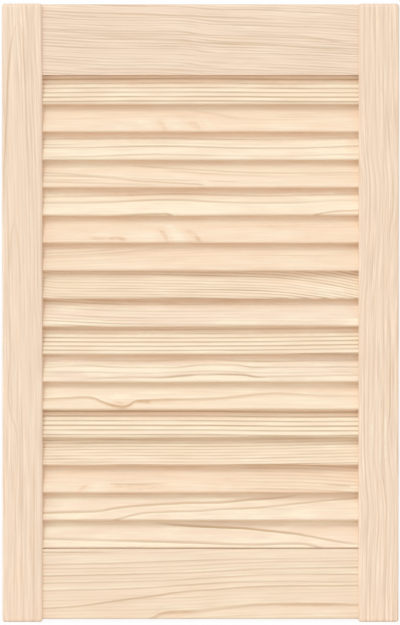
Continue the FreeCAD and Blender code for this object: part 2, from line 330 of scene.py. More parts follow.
FIGURES["slat_12"] = Figure(
    brownness=0.7, warmth=-0.2,
    veins=(
        Vein((-157, 10.5, 0.5), (-130, 11.7, 0.55), (-115, 12.5, 0.6), (-107, 11.6, 0.65),
             (-95, 6.6, 0.75), (-85, 3.7, 0.8), (-77, 2.6, 0.8), (-71, 4.4, 0.8), (-65, 8, 0.7),
             (-58, 8.8, 0.65), (-40, 9.8, 0.6), (0, 10.5, 0.5), (20, 11.5, 0.5), (40, 13.6, 0.5),
             (60, 15.7, 0.5), (75, 16.4, 0.45), (110, 14.4, 0.35), (157, 13.4, 0.2),
             width=0.6, soft_above=0.7, soft_below=3.6),
    ),
    spots=(
        Spot(-79, 4.5, 15, 5, 1.5), Spot(-58, 7, 13, 4, 1.4), Spot(-30, 7.5, 45, 4, 1.1),
        Spot(-80, 13, 14, 4, -0.7), Spot(130, 20, 60, 5, 0.8),
    ),
)
FIGURES["slat_13"] = Figure(
    path=((-157, 12.1), (0, 12.1), (60, 11.3), (90, 11.1), (157, 11.4)),
    ring_width=4.8, late_rise=1.7, strength=0.84, wander=0.25, warmth=-0.6,
    spots=(WARM_PAINTED_SHADE,),
)
FIGURES["slat_14"] = Figure(
    path=((-157, 12), (-60, 12.6), (0, 12.4), (60, 13), (157, 15)),
    ring_width=3.2, late_rise=1.0, strength=0.62, variety=1.2, uneven=0.8, warmth=-0.12, fibre=0.3,
)
FIGURES["slat_15"] = Figure(
    path=((-157, 22), (0, 22), (60, 21.6), (110, 20.6), (157, 18)),
    ring_width=3.6, strength=0.36, fade=(0, 70), brownness=0.4, warmth=0.75,
    veins=(
        Vein((-92, 8.8, 0), (-85, 8.6, 0.35), (-65, 8, 0.45), (-45, 8.6, 0.3), (-28, 8.8, 0), width=1.0),
        Vein((118, 8, 0), (130, 7.4, 0.4), (140, 6.8, 0.55), (147, 6.2, 0.4), (150, 6, 0),
             width=1.6, soft_above=1.0, soft_below=1.0),
    ),
    spots=(
        Spot(-142, 5, 24, 6, -0.9), Spot(-117, 4, 4, 8, 0.9, 1.0), Spot(-100, 5, 14, 7, -1.0, 0.6),
        Spot(-62, 6, 30, 5, 0.9), Spot(-8, 4, 24, 4, -0.5), Spot(25, 5, 10, 6, -0.6, 0.6),
        Spot(108, 7, 50, 5, -0.6), Spot(150, 4, 11, 7, -1.2),
    ),
)
FIGURES["slat_16"] = Figure(
    brownness=0.35, rosy=0.4, warmth=-0.25,
    veins=(
        Vein((-157, 6.4, 0.66), (-130, 7.6, 0.61), (-100, 8.7, 0.55), (-85, 11.5, 0.66),
             (-50, 14.9, 0.66), (-10, 17, 0.66), (15, 17.2, 0.66), (55, 20.6, 0.66), (80, 22.1, 0.5),
             (100, 25, 0), width=1.3, soft_above=1.8, soft_below=0.6, halo=-1.6),
        Vein((-92, -2, 0), (-80, 0.9, 0.55), (-60, 6.1, 0.55), (-40, 7.6, 0.55), (0, 8.9, 0.55),
             (20, 10.4, 0.55), (50, 11.5, 0.55), (80, 14.4, 0.55), (130, 19.8, 0.61), (157, 22, 0.55),
             width=0.9, soft_above=1.4, soft_below=0.7, halo=-1.4),
    ),
    spots=(Spot(-130, 3, 22, 3, -0.8), Spot(-95, 10, 16, 5, -0.5)),
)
FIGURES["slat_17"] = Figure(
    brownness=0.3, rosy=0.7, warmth=-0.4,
    veins=(
        Vein((-50, 25, 0), (-20, 22.5, 0.7), (10, 20.8, 0.94), (40, 19.5, 0.99), (80, 15.5, 0.88),
             (95, 13.7, 0.77), (110, 10.9, 0.66), (135, 6, 0.61), (157, 3, 0.33),
             width=1.4, soft_above=1.2, soft_below=0.7, halo=-0.9),
        Vein((-157, 8.3, 0.44), (-100, 6.9, 0.44), (-40, 5.2, 0.66), (0, 4, 0.61), (45, 2.3, 0.55),
             (95, 3.2, 0.55), (106, 2.3, 0.55), (118, -0.5, 0.3), (126, -2, 0),
             width=0.8, soft_above=3.2, soft_below=0.4, halo=-1.6),
    ),
    spots=(Spot(-95, 3, 60, 3, -1.1), Spot(60, 8, 40, 4, -0.3), Spot(125, 17, 50, 8, 0.9)),
)
FIGURES["top_rail"] = Figure(
    path=((-157, 39), (-95, 36.2), (-20, 35.3), (10, 32.3), (55, 30.9), (100, 28.9), (157, 26.4)),
    ring_width=2.8, late_rise=1.0, strength=0.31, variety=1.6, uneven=2.0, wander=1.6, rosy=1.0,
    bloom=0.4, fibre=0.3,
    veins=(
        Vein((-157, 64.5, 0.44), (-110, 62.2, 0.55), (-35, 60.1, 0.61), (0, 58.7, 0.61), (55, 56.4, 0.44),
             (80, 55, 0)),
        Vein((-157, 46, 0.28), (-110, 42, 0.44), (-60, 41.7, 0.44), (-20, 40.6, 0.44), (5, 39.8, 0)),
        Vein((-105, 36.4, 0), (-60, 36.4, 0.44), (-20, 35.3, 0.44), (10, 32.3, 0.61), (40, 32.4, 0.61),
             (80, 29.8, 0.55), (120, 27, 0.55), (157, 26.3, 0.33)),
        Vein((60, 39.8, 0.22), (100, 38.7, 0.33), (120, 36.3, 0.39), (140, 32.5, 0.5), (157, 31, 0.5)),
        Vein((-130, 6.6, 0), (-110, 6.4, 0.39), (-60, 6.4, 0.44), (-30, 5.7, 0.44), (0, 4.2, 0.33),
             (40, 2, 0.22)),
    ),
)
FIGURES["bottom_rail"] = Figure(
    path=((-157, 43.3), (-40, 45.6), (0, 47.3), (30, 49.2), (60, 50.3), (157, 52.2)),
    ring_width=3.5, strength=0.14, variety=1.4, brownness=0.35, rosy=0.5, warmth=-0.2, bloom=0.4,
    fibre=0.22,
    veins=(
        Vein((-157, 11, 0.5), (-120, 13.5, 0.6), (-80, 19.2, 0.64), (-40, 24.4, 0.68), (-25, 26.9, 0.68),
             (15, 30, 0.6), (60, 33, 0.6), (157, 34, 0.6), width=0.7, soft_above=0.5, soft_below=1.6),
        Vein((-157, 28.4, 0.47), (-60, 31.4, 0.47), (0, 35.3, 0.54), (30, 37, 0.47), (90, 38.1, 0.41),
             (157, 37.6, 0.27)),
        Vein((-157, 36.2, 0.47), (-40, 38.7, 0.34), (0, 40.9, 0.47), (30, 42.8, 0.47), (80, 44.8, 0.41),
             (157, 45.1, 0.54)),
        Vein((-157, 43.3, 0.68), (-60, 45.3, 0.54), (0, 47.3, 0.47), (60, 50.3, 0.41), (157, 52.2, 0.61)),
        Vein((-157, 54.4, 0.47), (-60, 57, 0.47), (-20, 58.4, 0.54), (30, 59.8, 0.41), (157, 61.5, 0.2)),
        Vein((-157, 67, 0.68), (-110, 67, 0.54), (-70, 67.5, 0)),
        Vein((-157, 50.3, 0.4), (-60, 52, 0.3), (0, 54.2, 0.25), (40, 56.4, 0.3), (157, 58.6, 0.4)),
        Vein((-58, -2, 0), (-48, 2, 0.4), (-38, 6.4, 0.6), (-15, 8.4, 0.6), (0, 9.2, 0.4), (25, 11.6, 0),
             width=0.8, soft_above=0.8, soft_below=4),
        Vein((-20, 8, 0), (0, 9.2, 0.4), (20, 11.1, 0.45), (60, 14.8, 0.55), (105, 15.2, 0.66),
             (157, 14.4, 0.6), width=1.4, soft_above=1.4, soft_below=2),
    ),
    spots=(Spot(-24, 6, 28, 4, 1.3), Spot(105, 14.6, 60, 3, 1.4)),
)
FIGURES["left_stile"] = Figure(
    path=((0, 31), (130, 31), (360, 29), (440, 27), (500, 25), (615, 21)),
    ring_width=3.6, late_width=0.5, late_rise=1.8, strength=0.14, variety=1.7, uneven=1.4, wander=1.2,
    fade=(-100, 450), rosy=1.0, warmth=0.1, bloom=0.5, fibre=0.42,
    veins=(
        Vein((381, 1, 0), (441, 2.1, 0.4), (500, 4.5, 0.56), (560, 7.5, 0.56), (580, 10.1, 0.4),
             (596, 15, 0.2), (600, 17, 0), width=1.1),
        Vein((360, 28.5, 0.15), (441, 26.5, 0.3), (500, 24.5, 0.45), (560, 22.1, 0.45), (590, 19.5, 0.35),
             (600, 17, 0)),
        Vein((342, 7.5, 0), (372, 8.5, 0.25), (390, 10, 0.25), (399, 12.5, 0.15), (401, 13, 0)),
        Vein((330, 19, 0), (356, 17.5, 0.35), (372, 16.5, 0.35), (390, 14.5, 0.25), (401, 13, 0)),
        Vein((0, 12, 0.2), (110, 12.5, 0.25), (150, 14.5, 0.3), (178, 14.9, 0.3), (192, 13.5, 0.3),
             (210, 8.1, 0.35), (230, 6.1, 0.4), (262, 8, 0.3), (285, 10.5, 0)),
        Vein((0, 20.5, 0.25), (130, 18.5, 0.25), (193, 17.1, 0.2), (215, 17, 0)),
        Vein((0, 31, 0.35), (130, 31.5, 0.35), (180, 31.5, 0)),
    ),
)
FIGURES["right_stile"] = Figure(
    path=(
        (0, 17), (63, 18), (110, 20), (140, 17.5), (180, 16), (300, 16), (360, 19), (400, 21),
        (430, 21.5), (470, 18.5), (520, 16.5), (615, 16),
    ),
    ring_width=4.6, late_width=0.6, late_rise=2.2, strength=0.13, variety=1.9, uneven=2.2, wander=1.4,
    rosy=1.0, warmth=0.2, bloom=0.5, fibre=0.5,
    veins=(
        Vein((350, 30, 0), (385, 30.5, 0.3), (420, 34.5, 0.45), (440, 34, 0.4), (480, 30.5, 0.3),
             (560, 29, 0.25), (615, 28.5, 0.2)),
        Vein((60, 36, 0.2), (110, 36, 0.3), (140, 34, 0.3), (160, 31, 0.3), (185, 29.2, 0.35),
             (215, 31.5, 0.6), (270, 31.5, 0.5), (310, 31, 0)),
        Vein((0, 26, 0.25), (110, 28, 0.3), (130, 26.5, 0.3), (155, 23, 0.3), (200, 24.8, 0.3),
             (310, 24.8, 0.25)),
    ),
    spots=(
        Spot(70, 18, 40, 1.5, -1.0), Spot(165, 21, 35, 1.5, -0.9), Spot(190, 14, 35, 1.5, -0.9),
        Spot(180, 27, 40, 1.5, -0.9), Spot(250, 22, 45, 1.2, -0.8), Spot(345, 15, 30, 1.5, -0.8),
        Spot(500, 22, 50, 1.5, -0.7), Spot(580, 12, 30, 1.2, -0.7),
    ),
)
SLATS = [name for name in FIGURES if name.startswith("slat_")]


class PineFinish(bpy.types.PropertyGroup):
    """Colours and gloss of the bare, sanded pine and of the beech dowels."""

    early_wood: FloatVectorProperty(
        name="Early Wood",
        description="Pale wood between the growth lines of the slats",
        subtype="COLOR",
        default=(0.91, 0.73, 0.545),
    )
    frame_wood: FloatVectorProperty(
        name="Frame Wood",
        description="Pale wood of the stiles and rails",
        subtype="COLOR",
        default=(0.885, 0.692, 0.536),
    )
    cream_wood: FloatVectorProperty(
        name="Cream Wood",
        description="Palest wood, on the boards with a cool tone",
        subtype="COLOR",
        default=(0.935, 0.80, 0.605),
    )
    warm_wood: FloatVectorProperty(
        name="Warm Wood",
        description="Pinkish wood, on the boards with a warm tone",
        subtype="COLOR",
        default=(0.905, 0.685, 0.495),
    )
    late_wood: FloatVectorProperty(
        name="Late Wood",
        description="Growth lines of the fine grained boards",
        subtype="COLOR",
        default=(0.61, 0.435, 0.275),
    )
    brown_wood: FloatVectorProperty(
        name="Brown Late Wood",
        description="Growth lines of the browner boards, and the darkest spots",
        subtype="COLOR",
        default=(0.61, 0.35, 0.165),
    )
    beech: FloatVectorProperty(
        name="Beech",
        description="Colour of the dowels",
        subtype="COLOR",
        default=(0.62, 0.42, 0.27),
    )
    roughness: FloatProperty(
        name="Roughness",
        description="Roughness of the sanded wood",
        subtype="FACTOR",
        min=0.0,
        max=1.0,
        default=0.6,
    )
    grain_relief: FloatProperty(
        name="Grain Relief",
        description="Height of the growth lines and fibres over the pale wood",
        subtype="DISTANCE",
        default=0.03 * MM,
    )


class SlatSizes(bpy.types.PropertyGroup):
    """Section of the slats and how far they are out of true."""

    width: FloatProperty(
        name="Width",
        description="Width of a slat, from its lower to its upper edge",
        subtype="DISTANCE",
        default=29.5 * MM,
    )
    thickness: FloatProperty(
        name="Thickness",
        description="Thickness of a slat",
        subtype="DISTANCE",
        default=5.0 * MM,
    )
    edge_round: FloatProperty(
        name="Edge Round",
        description="Radius of the rounded edges",
        subtype="DISTANCE",
        default=1.2 * MM,
    )
    tilt: FloatProperty(
        name="Tilt",
        description="Angle between a slat and the upright",
        subtype="ANGLE",
        default=math.radians(20),
    )
    bow: FloatProperty(
        name="Bow",
        description="How far a slat may be bent between its ends",
        subtype="DISTANCE",
        default=0.45 * MM,
    )
    sections: IntProperty(
        name="Sections",
        description="Number of sections along a slat",
        min=8,
        default=48,
    )


class StudioSettings(bpy.types.PropertyGroup):
    """Light, floor and camera."""

    sky: FloatProperty(
        name="Sky",
        description="Strength of the even light from all round",
        default=0.744,
    )
    sky_colour: FloatVectorProperty(
        name="Sky Colour",
        description="Colour of the even light, a little warm",
        subtype="COLOR",
        default=(1.0, 0.963, 0.96),
    )
    sun_colour: FloatVectorProperty(
        name="Sun Colour",
        description="Colour of the lamps, a little cool",
        subtype="COLOR",
        default=(0.9, 1.0, 1.01),
    )
    key_strength: FloatProperty(
        name="Key Strength",
        description="Strength of the soft light from the upper left",
        default=0.742,
    )
    key_spread: FloatProperty(
        name="Key Spread",
        description="How wide each lamp at the upper left looks from the door",
        subtype="ANGLE",
        default=math.radians(8),
    )
    wash_strength: FloatProperty(
        name="Wash Strength",
        description="Strength of the very wide light from the left",
        default=0.59,
    )
    wash_spread: FloatProperty(
        name="Wash Spread",
        description="How wide the light from the left looks from the door",
        subtype="ANGLE",
        default=math.radians(100),
    )
    floor_reach: FloatProperty(
        name="Floor Reach",
        description="How far the floor goes to each side of the door",
        subtype="DISTANCE",
        default=14.0,
    )
    floor_colour: FloatVectorProperty(
        name="Floor Colour",
        description="Colour of the floor",
        subtype="COLOR",
        default=(0.9, 0.9, 0.9),
    )
    floor_whiteness: FloatProperty(
        name="Floor Whiteness",
        description="How much of the floor's look is plain white, without shadow",
        subtype="FACTOR",
        min=0.0,
        max=1.0,
        default=0.92,
    )
    camera_distance: FloatProperty(
        name="Camera Distance",
        description="Distance from the camera to the middle of the door",
        subtype="DISTANCE",
        default=14.0,
    )
    camera_height: FloatProperty(
        name="Camera Height",
        description="Angle at which the camera looks down on the door",
        subtype="ANGLE",
        default=math.radians(4),
    )
    pixels_per_metre: FloatProperty(
        name="Pixels per Metre",
        description="Size of the door in the picture",
        default=1006.0,
    )
    camera_sideways: FloatProperty(
        name="Camera Sideways",
        description="How far the camera stands to the right of the door's middle",
        subtype="DISTANCE",
        default=-0.5 * MM,
    )
    camera_raise: FloatProperty(
        name="Camera Raise",
        description="How far above the door's middle the camera looks",
        subtype="DISTANCE",
        default=0.5 * MM,
    )


def feed(tree, socket, value):
    """Links a socket to another one, or sets its value."""
    if isinstance(value, bpy.types.NodeSocket):
        tree.links.new(value, socket)
    else:
        socket.default_value = value


def maths(tree, operation, *values):
    """A Math node's result."""
    node = tree.nodes.new("ShaderNodeMath")
    node.operation = operation
    for socket, value in zip(node.inputs, values):
        feed(tree, socket, value)
    return node.outputs["Value"]


def vector_maths(tree, operation, *values):
    """A Vector Math node's result."""
    node = tree.nodes.new("ShaderNodeVectorMath")
    node.operation = operation
    for socket, value in zip(node.inputs, values):
        feed(tree, socket, value)
    return node.outputs["Value" if operation == "DOT_PRODUCT" else "Vector"]


def scaled(tree, vector, factor):
    """A vector times a number."""
    result = vector_maths(tree, "SCALE", vector)
    feed(tree, result.node.inputs["Scale"], factor)
    return result


def joined(tree, *parts):
    """A vector made of its parts."""
    node = tree.nodes.new("ShaderNodeCombineXYZ")
    for socket, part in zip(node.inputs, parts):
        feed(tree, socket, part)
    return node.outputs["Vector"]


def smooth_step(tree, value, start, end):
    """A smooth change from 0 to 1 as the value goes from start to end."""
    node = tree.nodes.new("ShaderNodeMapRange")
    node.interpolation_type = "SMOOTHSTEP"
    feed(tree, node.inputs["Value"], value)
    feed(tree, node.inputs["From Min"], start)
    feed(tree, node.inputs["From Max"], end)
    return node.outputs["Result"]


def mixed_colour(tree, share, first, second):
    """A blend of two colours."""
    node = tree.nodes.new("ShaderNodeMix")
    node.data_type = "RGBA"
    # The node has sockets of the same name for every kind of value, so those for colours go by number
    feed(tree, node.inputs[0], share)
    for socket, colour in ((node.inputs[6], first), (node.inputs[7], second)):
        feed(tree, socket, colour if isinstance(colour, bpy.types.NodeSocket) else (*colour, 1.0))
    return node.outputs[2]


def streaks(tree, place, noise, base=0.0):
    """Noise about a base value, drawn out along the board."""
    node = tree.nodes.new("ShaderNodeTexNoise")
    node.inputs["Scale"].default_value = 1.0
    node.inputs["Detail"].default_value = noise.detail
    size = (noise.along, noise.across, noise.across)
    feed(tree, node.inputs["Vector"], vector_maths(tree, "DIVIDE", place, size))
    centred = maths(tree, "SUBTRACT", node.outputs["Fac"], 0.5)
    return maths(tree, "MULTIPLY_ADD", centred, noise.swing, base)


def curve_along(tree, along, points, reach):
    """A value that follows listed points along a board, all within the reach given."""
    first_place, last_place = points[0][0], points[-1][0]
    length = last_place - first_place
    low, high = reach
    node = tree.nodes.new("ShaderNodeFloatCurve")
    node.mapping.extend = "HORIZONTAL"
    curve = node.mapping.curves[0]
    # A new curve already has two points
    for _ in points[2:]:
        curve.points.new(1.0, 1.0)
    for point, (place, value) in zip(curve.points, points):
        point.location = ((place - first_place) / length, (value - low) / (high - low))
        point.handle_type = "AUTO_CLAMPED"
    node.mapping.update()
    share = maths(tree, "DIVIDE", maths(tree, "SUBTRACT", along, first_place), length)
    feed(tree, node.inputs["Value"], share)
    return maths(tree, "MULTIPLY_ADD", node.outputs["Value"], high - low, low)


def ring_lines(group, given, place, off_pith):
    """How dark the late wood of the rings is, from rings round the pith that are nudged off true."""
    nudge = streaks(group, place, QUICK_BEND, streaks(group, place, SLOW_BEND))
    nudged = maths(group, "MULTIPLY_ADD", nudge, given["wander"], off_pith)
    deep = maths(group, "MULTIPLY", given["through"], given["through"])
    distance = maths(group, "SQRT", maths(group, "MULTIPLY_ADD", nudged, nudged, deep))
    radius = maths(group, "MULTIPLY_ADD", streaks(group, place, RING_SPACING), given["uneven"], distance)
    turn = maths(group, "DIVIDE", maths(group, "SUBTRACT", radius, PITH_BELOW), given["ring_width"])
    ring = maths(group, "ROUND", turn)
    outside = maths(group, "MULTIPLY", maths(group, "SUBTRACT", turn, ring), given["ring_width"])
    inside = maths(group, "MULTIPLY", outside, -1.0)
    late_start = maths(group, "ADD", given["late_rise"], given["late_width"])
    rise = smooth_step(group, inside, late_start, given["late_width"])
    fall = smooth_step(group, outside, given["late_width"], 0.0)
    late = maths(group, "MULTIPLY", rise, fall)

    # Some rings are stronger than others, and every line fades in and out along the board
    chance = group.nodes.new("ShaderNodeTexWhiteNoise")
    chance.noise_dimensions = "2D"
    feed(group, chance.inputs["Vector"], joined(group, ring, given["seed"]))
    luck = maths(group, "SUBTRACT", chance.outputs["Value"], 0.5)
    luck = streaks(group, place, RING_FADING, luck)
    vigour = maths(group, "MULTIPLY_ADD", luck, given["variety"], 1.0)
    strength = maths(group, "MULTIPLY", given["strength"], given["fading"])
    return maths(group, "MULTIPLY", maths(group, "MULTIPLY", late, vigour), strength)


def pale_wood(group, given, finish, place):
    """Colour of the wood between the lines: cream where its tone is cool, pink to brown where it is warm."""
    tone = maths(group, "ADD", given["warmth"], given["drawn_tone"])
    tone = maths(group, "MULTIPLY_ADD", streaks(group, place, PATCHES), given["bloom"], tone)
    tone = streaks(group, place, STRETCHES, tone)
    pale = mixed_colour(group, given["rosy"], finish.early_wood, finish.frame_wood)
    pale = mixed_colour(group, smooth_step(group, tone, 0.0, -1.0), pale, finish.cream_wood)
    pale = mixed_colour(group, smooth_step(group, tone, 0.0, 1.0), pale, finish.warm_wood)
    stain = maths(group, "MULTIPLY", smooth_step(group, tone, *STAIN_TONES), STAIN_DEPTH)
    return mixed_colour(group, stain, pale, finish.brown_wood)


def pine_group(finish):
    """A node group that turns a place in a board into pine: growth rings, tone and fibres."""
    group = bpy.data.node_groups.new("pine", "ShaderNodeTree")
    places = ("along", "across", "through", "pith_across", "fading", "drawn", "drawn_tone", "seed")
    for name in (*places, *FIGURE_NUMBERS):
        group.interface.new_socket(name, in_out="INPUT", socket_type="NodeSocketFloat")
    group.interface.new_socket("colour", in_out="OUTPUT", socket_type="NodeSocketColor")
    group.interface.new_socket("roughness", in_out="OUTPUT", socket_type="NodeSocketFloat")
    group.interface.new_socket("height", in_out="OUTPUT", socket_type="NodeSocketFloat")
    given = group.nodes.new("NodeGroupInput").outputs
    made = group.nodes.new("NodeGroupOutput").inputs

    # Places in the board and in the log, moved by the seed so that no two boards have the same noise
    off_pith = maths(group, "SUBTRACT", given["across"], given["pith_across"])
    shift = scaled(group, SEED_SHIFT, given["seed"])
    in_board = joined(group, given["along"], given["across"], given["through"])
    in_log = joined(group, given["along"], off_pith, given["through"])
    place = vector_maths(group, "ADD", in_board, shift)
    grain = vector_maths(group, "ADD", in_log, shift)

    line = maths(group, "MAXIMUM", ring_lines(group, given, place, off_pith), given["drawn"])
    dark = mixed_colour(group, given["brownness"], finish.late_wood, finish.brown_wood)
    wood = mixed_colour(group, line, pale_wood(group, given, finish, place), dark)

    # Fine fibres, which run with the rings and are stronger in some places than in others
    vigour = streaks(group, place, FIBRE_FADING, 1.0)
    fibre = maths(group, "MULTIPLY", streaks(group, grain, FIBRES), vigour)
    shade = scaled(group, FIBRE_STAIN, maths(group, "MULTIPLY", fibre, given["fibre"]))
    feed(group, made["colour"], vector_maths(group, "MULTIPLY_ADD", wood, shade, wood))
    roughness = maths(group, "MULTIPLY_ADD", line, LINE_ROUGHNESS, finish.roughness)
    feed(group, made["roughness"], maths(group, "MULTIPLY_ADD", fibre, FIBRE_ROUGHNESS, roughness))
    feed(group, made["height"], maths(group, "MULTIPLY_ADD", fibre, FIBRE_RELIEF, line))
    return group


def drawn_lines(tree, along, across, veins):
    """How dark a board's veins are, and the tone of the wood beside them."""
    nudged = streaks(tree, joined(tree, along, across), VEIN_BEND, across)
    darkest = 0.0
    tone = 0.0
    for vein in veins:
        path = curve_along(tree, along, [point[:2] for point in vein.points], ACROSS_REACH)
        strength = curve_along(tree, along, [point[::2] for point in vein.points], (0.0, 1.0))
        above = maths(tree, "SUBTRACT", nudged, path)
        half = vein.width / 2
        upper_side = smooth_step(tree, above, half + vein.soft_above, half)
        lower_side = smooth_step(tree, above, -half - vein.soft_below, -half)
        dark = maths(tree, "MULTIPLY", maths(tree, "MULTIPLY", upper_side, lower_side), strength)
        darkest = maths(tree, "MAXIMUM", darkest, dark)
        near = smooth_step(tree, maths(tree, "ABSOLUTE", above), HALO_REACH, 0.0)
        side = maths(tree, "MULTIPLY", maths(tree, "SIGN", above), -vein.halo)
        tone = maths(tree, "MULTIPLY_ADD", maths(tree, "MULTIPLY", near, strength), side, tone)
    return darkest, tone


def with_spots(tree, along, across, spots, tone):
    """A tone with the tones of a board's spots added, which have ragged edges."""
    ragged = streaks(tree, joined(tree, along, across), SPOT_EDGES)
    for spot in spots:
        off_across = maths(tree, "SUBTRACT", across, spot.across)
        off_along = maths(tree, "SUBTRACT", along, spot.along)
        off_along = maths(tree, "MULTIPLY_ADD", off_across, -spot.lean, off_along)
        far_along = maths(tree, "DIVIDE", off_along, spot.half_length)
        far_across = maths(tree, "DIVIDE", off_across, spot.half_height)
        far = maths(tree, "MULTIPLY_ADD", far_across, far_across, ragged)
        far = maths(tree, "MULTIPLY_ADD", far_along, far_along, far)
        tone = maths(tree, "MULTIPLY_ADD", smooth_step(tree, far, 1.0, 0.0), spot.tone, tone)
    return tone


def new_material(name):
    """A material and its nodes."""
    material = bpy.data.materials.new(name)
    material.use_nodes = True
    return material, material.node_tree


def give_material(thing, material):
    """Puts one material on all of an object."""
    thing.data.materials.clear()
    thing.data.materials.append(material)


def pine_material(name, wood, corner, axes, seed):
    """Pine for one board, from the wood's node group.

    The board's own measures start from the corner, on its front face. They run along it, across it and
    through it from the front, by the three axes.
    """
    figure = FIGURES[name]
    material, tree = new_material(f"pine_{name}")
    shader = tree.nodes["Principled BSDF"]
    point = tree.nodes.new("ShaderNodeTexCoord").outputs["Object"]
    offset = vector_maths(tree, "SUBTRACT", point, corner)
    along, across, through = [vector_maths(tree, "DOT_PRODUCT", offset, axis / MM) for axis in axes]

    path = curve_along(tree, along, figure.path, ACROSS_REACH)
    drawn, halos = drawn_lines(tree, along, across, figure.veins)
    given = {
        "along": along,
        "across": across,
        "through": through,
        "pith_across": maths(tree, "SUBTRACT", path, PITH_BELOW),
        "fading": smooth_step(tree, along, *figure.fade),
        "drawn": drawn,
        "drawn_tone": with_spots(tree, along, across, figure.spots, halos),
        "seed": seed,
    }
    for number in FIGURE_NUMBERS:
        given[number] = getattr(figure, number)
    group = tree.nodes.new("ShaderNodeGroup")
    group.node_tree = wood
    for socket, value in given.items():
        feed(tree, group.inputs[socket], value)
    feed(tree, shader.inputs["Base Color"], group.outputs["colour"])
    feed(tree, shader.inputs["Roughness"], group.outputs["roughness"])
    bump = tree.nodes.new("ShaderNodeBump")
    bump.inputs["Distance"].default_value = bpy.context.scene.pine_finish.grain_relief
    feed(tree, bump.inputs["Height"], group.outputs["height"])
    feed(tree, shader.inputs["Normal"], bump.outputs["Normal"])
    return material


def beech_material(finish):
    """Beech with dark flecks, for the dowels."""
    material, tree = new_material("beech_dowel")
    shader = tree.nodes["Principled BSDF"]
    point = tree.nodes.new("ShaderNodeTexCoord").outputs["Object"]
    place = vector_maths(tree, "DIVIDE", point, (MM, MM, MM))
    flecks = smooth_step(tree, streaks(tree, place, FLECKS), *FLECK_EDGE)
    darker = tuple(part * FLECK_SHADE for part in finish.beech)
    feed(tree, shader.inputs["Base Color"], mixed_colour(tree, flecks, finish.beech, darker))
    shader.inputs["Roughness"].default_value = finish.roughness
    return material


def add_object(name, data):
    """An object in the scene."""
    thing = bpy.data.objects.new(name, data)
    bpy.context.scene.collection.objects.link(thing)
    return thing


def slat_axes(tilt):
    """The directions from a slat's lower to its upper edge and out of its front face."""
    upwards = Vector((0, math.sin(tilt), math.cos(tilt)))
    forwards = Vector((0, -math.cos(tilt), math.sin(tilt)))
    return upwards, forwards


def rounded_section(width, thickness, radius, steps=6):
    """Points round a slat's section, as places across it and through it from its middle."""
    points = []
    for number, (side_across, side_through) in enumerate(((1, 1), (-1, 1), (-1, -1), (1, -1))):
        centre_across = side_across * (width / 2 - radius)
        centre_through = side_through * (thickness / 2 - radius)
        for step in range(steps + 1):
            angle = math.radians(90) * (number + step / steps)
            across = centre_across + radius * math.cos(angle)
            through = centre_through + radius * math.sin(angle)
            points.append((across, through))
    return points


def turned(ring):
    """A ring of corners that starts with the next one."""
    return ring[1:] + ring[:1]


def build_slat(name, sizes, chance):
    """A slat in place of its plain solid: rounded edges and the slight bow that thin pine takes."""
    low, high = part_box(name)
    middle = (low + high) / 2
    half_length = (high.x - low.x) / 2
    upwards, forwards = slat_axes(sizes.tilt)
    section = rounded_section(sizes.width, sizes.thickness, sizes.edge_round)
    bends = [chance.uniform(-sizes.bow, sizes.bow) / 2 for _ in range(4)]
    arch_up, wave_up, arch_out, wave_out = bends

    work = bmesh.new()
    rings = []
    for number in range(sizes.sections + 1):
        share = 2 * number / sizes.sections - 1
        arch = math.cos(share * math.pi / 2)
        wave = math.sin(share * math.pi)
        bent = upwards * (arch_up * arch + wave_up * wave) + forwards * (arch_out * arch + wave_out * wave)
        centre = middle + RIGHTWARDS * (share * half_length) + bent
        rings.append([work.verts.new(centre + upwards * across + forwards * out) for across, out in section])
    for ring, following in zip(rings, rings[1:]):
        for corners in zip(ring, turned(ring), turned(following), following):
            work.faces.new(corners).smooth = True
    for end in (rings[0], rings[-1]):
        for corners in zip(end, turned(end)):
            work.edges.get(corners).smooth = False
    work.faces.new(reversed(rings[0]))
    work.faces.new(rings[-1])
    bmesh.ops.recalc_face_normals(work, faces=work.faces)
    mesh = bpy.data.meshes.new(f"{name}_board")
    work.to_mesh(mesh)
    work.free()
    return add_object(f"{name}_board", mesh)


def seen_directly(tree):
    """1 for rays that reach the picture straight, by a mirror or through glass, and 0 for lighting."""
    rays = tree.nodes.new("ShaderNodeLightPath").outputs
    seen = maths(tree, "MAXIMUM", rays["Is Camera Ray"], rays["Is Glossy Ray"])
    return maths(tree, "MAXIMUM", seen, rays["Is Transmission Ray"])


def floor_material(settings):
    """A matt floor that looks almost white and keeps a soft shadow."""
    material, tree = new_material("pale_floor")
    tree.nodes.remove(tree.nodes["Principled BSDF"])
    matt = tree.nodes.new("ShaderNodeBsdfDiffuse")
    matt.inputs["Color"].default_value = (*settings.floor_colour, 1.0)
    white = tree.nodes.new("ShaderNodeEmission")
    blend = tree.nodes.new("ShaderNodeMixShader")
    feed(tree, blend.inputs["Fac"], maths(tree, "MULTIPLY", seen_directly(tree), settings.floor_whiteness))
    feed(tree, blend.inputs[1], matt.outputs["BSDF"])
    feed(tree, blend.inputs[2], white.outputs["Emission"])
    feed(tree, tree.nodes["Material Output"].inputs["Surface"], blend.outputs["Shader"])
    return material


def add_floor(settings):
    """A wide pale floor."""
    reach = settings.floor_reach
    corners = [(-reach, -reach, 0), (reach, -reach, 0), (reach, reach, 0), (-reach, reach, 0)]
    mesh = bpy.data.meshes.new("floor")
    mesh.from_pydata(corners, [], [(0, 1, 2, 3)])
    floor = add_object("floor", mesh)
    give_material(floor, floor_material(settings))


